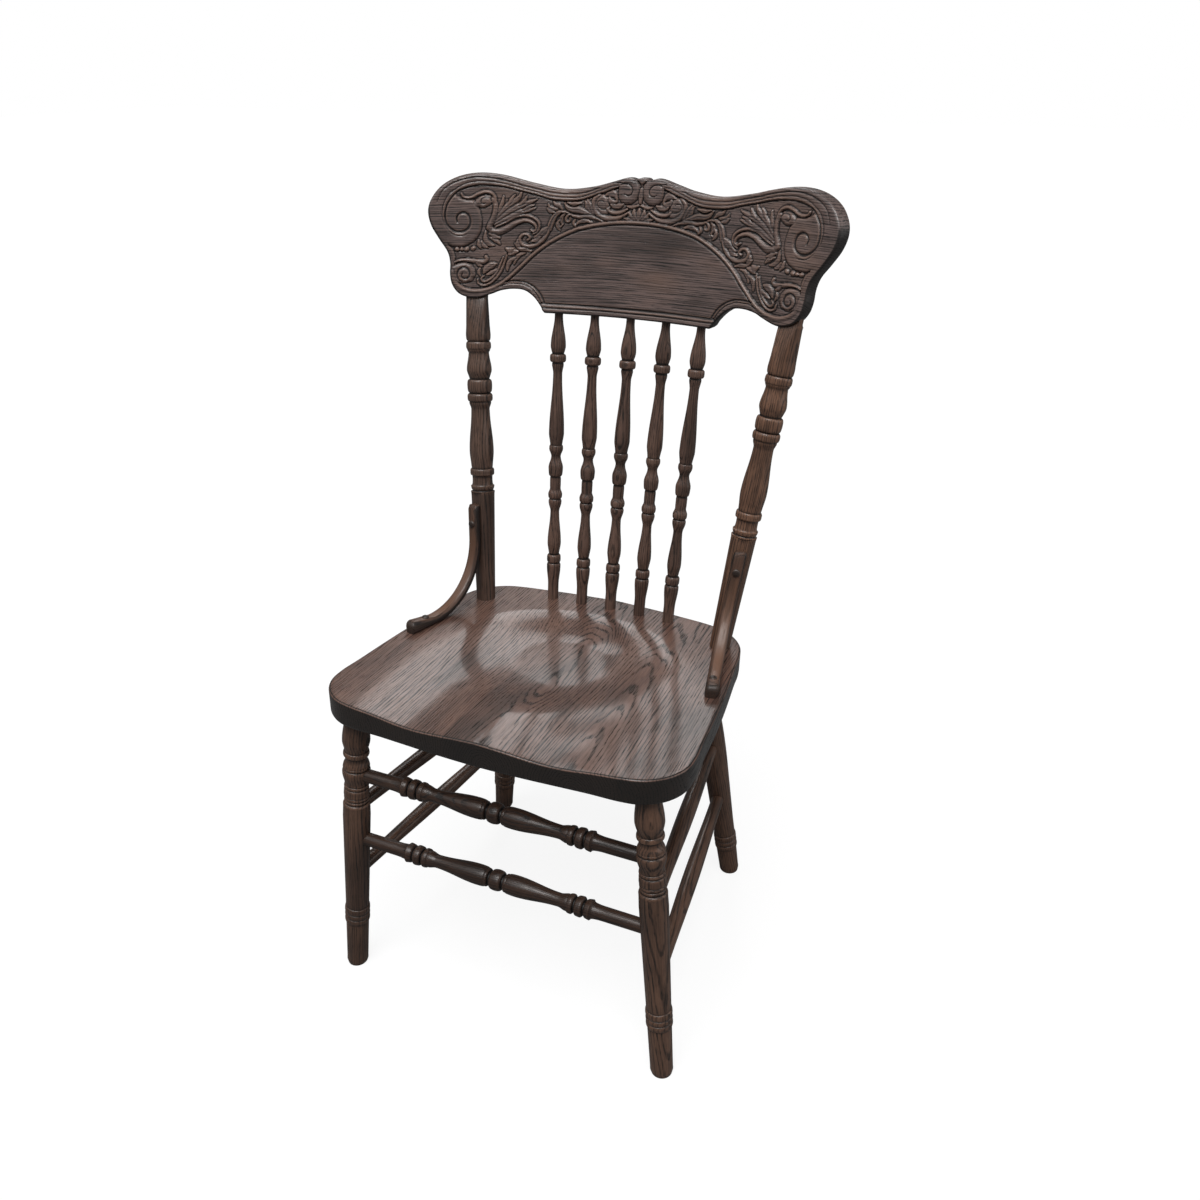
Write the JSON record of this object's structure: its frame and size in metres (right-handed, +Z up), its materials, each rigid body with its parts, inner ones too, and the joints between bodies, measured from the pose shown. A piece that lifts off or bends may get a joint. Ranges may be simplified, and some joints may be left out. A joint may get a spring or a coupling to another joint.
{
  "type": "pressed back chair",
  "caption": "Wooden pressed back side chair: saddled plank seat, bent crest rail with pressed scrolls, turned posts, spindles, legs and stretchers, bent hip braces.",
  "frame": {"origin": "on the floor, under the middle of the chair's bounding box", "axes": "+Z up, -Y towards the chair's front, +X to the right of someone who looks at its front"},
  "size_m": [0.5918, 0.543, 1.0611],
  "materials": {
    "seat_oak": "semi-gloss dark stained oak, worn lighter",
    "crest_oak": "semi-gloss dark stained oak",
    "turned_oak": "semi-gloss dark stained oak",
    "brace_oak": "semi-gloss dark stained oak, worn brown",
    "plug_oak": "semi-gloss near black stained oak",
    "screw_steel": "plain steel"
  },
  "bodies": {
    "root": {"seat": "seat_oak", "crest_rail": "crest_oak", "back_post_left": "turned_oak", "back_post_right": "turned_oak", "spindle_1": "turned_oak", "spindle_2": "turned_oak", "spindle_3": "turned_oak", "spindle_4": "turned_oak", "spindle_5": "turned_oak", "hip_brace_left": "brace_oak", "hip_brace_right": "brace_oak", "brace_screw_left_upper": "screw_steel", "brace_screw_left_lower": "screw_steel", "brace_screw_right_upper": "screw_steel", "brace_screw_right_lower": "screw_steel", "brace_plug_left_upper": "plug_oak", "brace_plug_left_lower": "plug_oak", "brace_plug_right_upper": "plug_oak", "brace_plug_right_lower": "plug_oak", "front_leg_left": "turned_oak", "front_leg_right": "turned_oak", "rear_leg_left": "turned_oak", "rear_leg_right": "turned_oak", "front_stretcher_upper": "turned_oak", "front_stretcher_lower": "turned_oak", "side_stretcher_left_upper": "turned_oak", "side_stretcher_left_lower": "turned_oak", "side_stretcher_right_upper": "turned_oak", "side_stretcher_right_lower": "turned_oak", "rear_stretcher": "turned_oak"}
  },
  "joints": []
}
